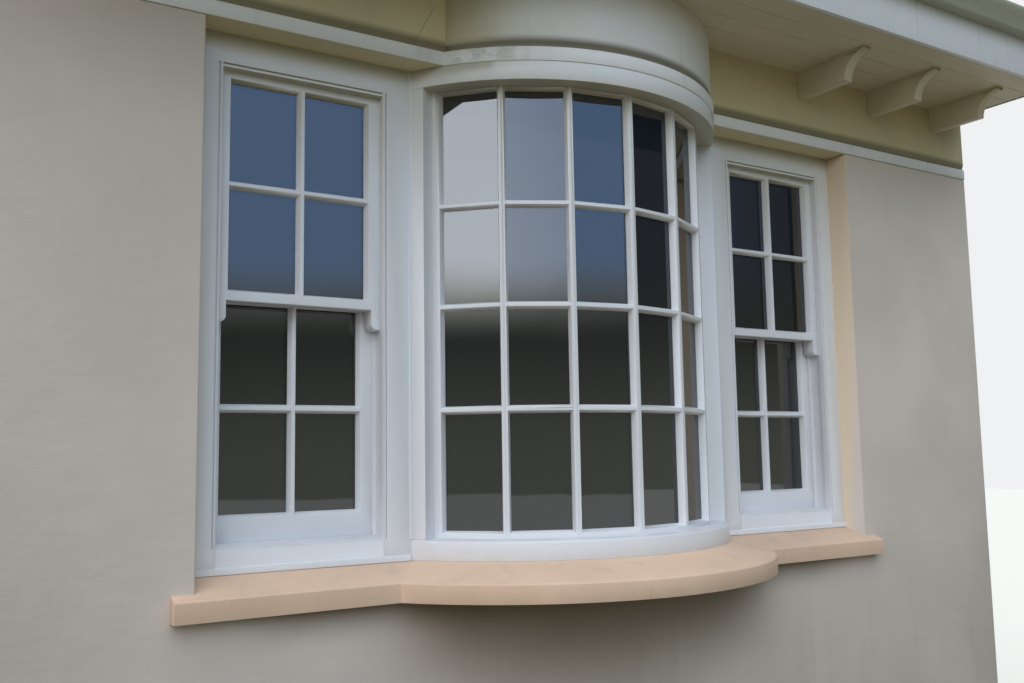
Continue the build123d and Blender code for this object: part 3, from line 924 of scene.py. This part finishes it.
class BAY_OT_fasteners(BayOperator, bpy.types.Operator):
    """Puts a brass fastener on each pair of meeting rails, and lifts on the lower sashes"""

    bl_idname = "bay.fasteners"
    bl_label = "Sash fittings"

    def execute(self, context):
        fitting = context.scene.bay_fitting
        finish = material(brass_metal, fitting)
        for side in FLANKS:
            (x_left, y_front, z_foot), (x_right, y_back, z_top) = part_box("lower_sash_" + side)
            middle = (x_left + x_right) / 2
            catch = bmesh.new()
            self.catch(catch, middle, (y_front + y_back) / 2, z_top, fitting.fastener)
            self.fitted(catch, "fastener", side, finish)
            lifts = bmesh.new()
            for x in (middle - fitting.lift_reach, middle + fitting.lift_reach):
                self.lift(lifts, x, y_back, z_foot + fitting.lift_rise)
            self.fitted(lifts, "lifts", side, finish)
        return {"FINISHED"}

    def fitted(self, shape, kind, side, finish):
        """Turns the shape into a finished brass piece."""
        piece = piece_from(mesh_of(shape, kind), "sash_%s_%s" % (kind, side))
        rounded(piece, bpy.context.scene.bay_arris.brass)
        carried(piece, finish)

    def catch(self, shape, x, y, z, arm):
        """The plate, the post and the curved arm that bears on the upper sash."""
        half_length, half_width, thick = 0.024, 0.016, 0.003
        add_box(shape, (x - half_length, y - half_width, z), (x + half_length, y + half_width, z + thick))
        post = 0.016
        add_rod(shape, (x, y, z), (x, y, z + post), 0.008, 0.006)
        add_ball(shape, (x, y, z + post + 0.001), (0.007, 0.007, 0.005))
        start = (x, y, z + 0.011)
        bend = (x + arm * 0.5, y - 0.004, z + 0.009)
        end = (x + arm, y - 0.001, z + post)
        add_rod(shape, start, bend, 0.004, 0.003)
        add_rod(shape, bend, end, 0.003, 0.0024)
        knob = 0.006
        add_ball(shape, (x + arm, y - 0.001, z + post + 0.002), (knob, knob, knob))

    def lift(self, shape, x, y, z):
        """A plate on the bottom rail with a curled hook to pull up by."""
        half_plate, half_hook = 0.013, 0.012
        half_height, ledge = 0.020, 0.006
        add_box(shape, (x - half_plate, y, z - half_height), (x + half_plate, y + 0.0025, z + half_height))
        add_box(shape, (x - half_hook, y, z + ledge), (x + half_hook, y + 0.018, z + 0.010))
        add_box(shape, (x - half_hook, y + 0.015, z + ledge), (x + half_hook, y + 0.019, z + half_height))


class BAY_OT_stage(BayOperator, bpy.types.Operator):
    """Sets the floor, the soft light and the camera"""

    bl_idname = "bay.stage"
    bl_label = "Stage"

    def execute(self, context):
        settings = context.scene.bay_stage
        context.scene.view_settings.view_transform = "Standard"
        self.floor(settings)
        self.sky(context.scene, settings)
        self.camera(context.scene)
        return {"FINISHED"}

    def floor(self, settings):
        """A wide pale floor that the object stands on."""
        half_width = 30.0
        shape = bmesh.new()
        bmesh.ops.create_grid(shape, x_segments=1, y_segments=1, size=half_width)
        floor = piece_from(mesh_of(shape, "floor"), "floor")
        finish = bpy.data.materials.new("floor_paint")
        finish.use_nodes = True
        tree = Tree(finish.node_tree)
        tree.nodes.clear()
        lit = tree.node("ShaderNodeBsdfDiffuse", None, {"Color": settings.ground})
        seen = tree.node("ShaderNodeBsdfDiffuse", None, {"Color": settings.floor})
        tree.node("ShaderNodeOutputMaterial", None, [self.shown_pale(tree, lit, seen)])
        floor.data.materials.append(finish)

    def shown_pale(self, tree, lit, seen):
        """Shows one shader to the camera and in reflections, and the other to the light."""
        path = tree.node("ShaderNodeLightPath")
        direct = tree.more(path, "Is Camera Ray")
        mirrored = tree.more(path, "Is Glossy Ray")
        through = tree.more(path, "Is Transmission Ray")
        return tree.node("ShaderNodeMixShader", None, [direct + mirrored + through, lit, seen])

    def sky(self, scene, settings):
        """A pale even background; a soft dome, brightest overhead and to the left, gives the light."""
        world = bpy.data.worlds.new("soft_dome")
        scene.world = world
        world.use_nodes = True
        tree = Tree(world.node_tree)
        tree.nodes.clear()
        place = tree.node("ShaderNodeTexCoord", None, (), "Generated")
        glow = tree.node("ShaderNodeBackground", None, {"Strength": 0.0})
        for values in (OPEN_SKY, BLUE_SKY, LOW_GLOW, OVERHEAD):
            lobe = self.lobe(tree, place, settings.level, *values)
            glow = tree.node("ShaderNodeAddShader", None, [glow, lobe])
        path = tree.node("ShaderNodeLightPath")
        mirrored = self.mirrored(tree, place)
        lit = tree.node("ShaderNodeMixShader", None, [tree.more(path, "Is Glossy Ray"), glow, mirrored])
        seen = tree.node("ShaderNodeBackground", None, {"Color": settings.backdrop, "Strength": 1.0})
        shown = tree.node("ShaderNodeMixShader", None, [tree.more(path, "Is Camera Ray"), lit, seen])
        tree.node("ShaderNodeOutputWorld", None, [shown])

    def lobe(self, tree, place, strength, turn, lift, sharpness, colour):
        """Light from round one direction, above the horizon only."""
        turn, lift = math.radians(turn), math.radians(lift)
        axis = (math.sin(turn) * math.cos(lift), -math.cos(turn) * math.cos(lift), math.sin(lift))
        towards = tree.node("ShaderNodeVectorMath", {"operation": "DOT_PRODUCT"}, [place, axis], "Value")
        towards = towards.math("MAXIMUM", towards, 0.0)
        _, _, up = tree.split(place)
        level = towards.math("POWER", towards, sharpness) * up.above(0.0, 0.1) * strength
        return tree.node("ShaderNodeBackground", None, {"Color": (*colour, 1.0), "Strength": level})

    def mirrored(self, tree, place):
        """What the panes mirror: a bright sky to the left, blue in front, with dark ground under it."""
        blue, white, low = paint(150, 190, 246), paint(232, 240, 250), paint(226, 228, 208)
        x, y, z = tree.split(place)
        left = x * -0.87 - y * 0.49
        sky = z.above(0.11, 0.20)
        front = left.above(-0.35, 0.15) * 2.3 + left.above(0.5, 1.15) * 5.6
        overhead = z.above(0.3, 0.95) * 2.0
        horizon = z.above(0.14, -0.02) * 0.45
        level = sky * front + overhead + horizon + 0.08
        dome = tree.mix(left.above(0.45, 1.0), blue, white)
        dome = tree.mix(sky, low, dome)
        return tree.node("ShaderNodeBackground", None, {"Color": dome, "Strength": level})

    def camera(self, scene):
        """The photograph's point of view."""
        data = bpy.data.cameras.new("view")
        data.sensor_width = VIEW_SENSOR
        data.lens = VIEW_LENS
        camera = bpy.data.objects.new("view", data)
        turn = Matrix.Rotation(math.radians(VIEW_TURN), 4, "Z")
        tip = Matrix.Rotation(math.radians(90 + VIEW_TIP), 4, "X")
        roll = Matrix.Rotation(math.radians(VIEW_ROLL), 4, "Z")
        camera.matrix_world = Matrix.Translation(VIEW_PLACE) @ turn @ tip @ roll
        scene.collection.objects.link(camera)
        scene.camera = camera


STEPS = (BAY_OT_masonry, BAY_OT_sill, BAY_OT_joinery, BAY_OT_trim, BAY_OT_glazing, BAY_OT_soffit,
         BAY_OT_eaves, BAY_OT_nails, BAY_OT_fasteners, BAY_OT_stage)


class BAY_PT_panel(bpy.types.Panel):
    """Lists the sizes and colours, and the step for each group of pieces"""

    bl_idname = "BAY_PT_panel"
    bl_label = "Bow window"
    bl_space_type = "VIEW_3D"
    bl_region_type = "UI"
    bl_category = "Bow window"

    def draw(self, context):
        for name, group in SETTINGS.items():
            box = self.layout.box()
            for field in group.__annotations__:
                box.prop(getattr(context.scene, name), field)
        for step in STEPS:
            self.layout.operator(step.bl_idname)


def register():
    for group in SETTINGS.values():
        bpy.utils.register_class(group)
    for name, group in SETTINGS.items():
        setattr(bpy.types.Scene, name, bpy.props.PointerProperty(type=group))
    for step in STEPS:
        bpy.utils.register_class(step)
    bpy.utils.register_class(BAY_PT_panel)


def unregister():
    bpy.utils.unregister_class(BAY_PT_panel)
    for step in reversed(STEPS):
        bpy.utils.unregister_class(step)
    for name, group in SETTINGS.items():
        delattr(bpy.types.Scene, name)
        bpy.utils.unregister_class(group)


def main():
    register()
    for step in STEPS:
        family, name = step.bl_idname.split(".")
        getattr(getattr(bpy.ops, family), name)()


if __name__ == "__main__":
    main()
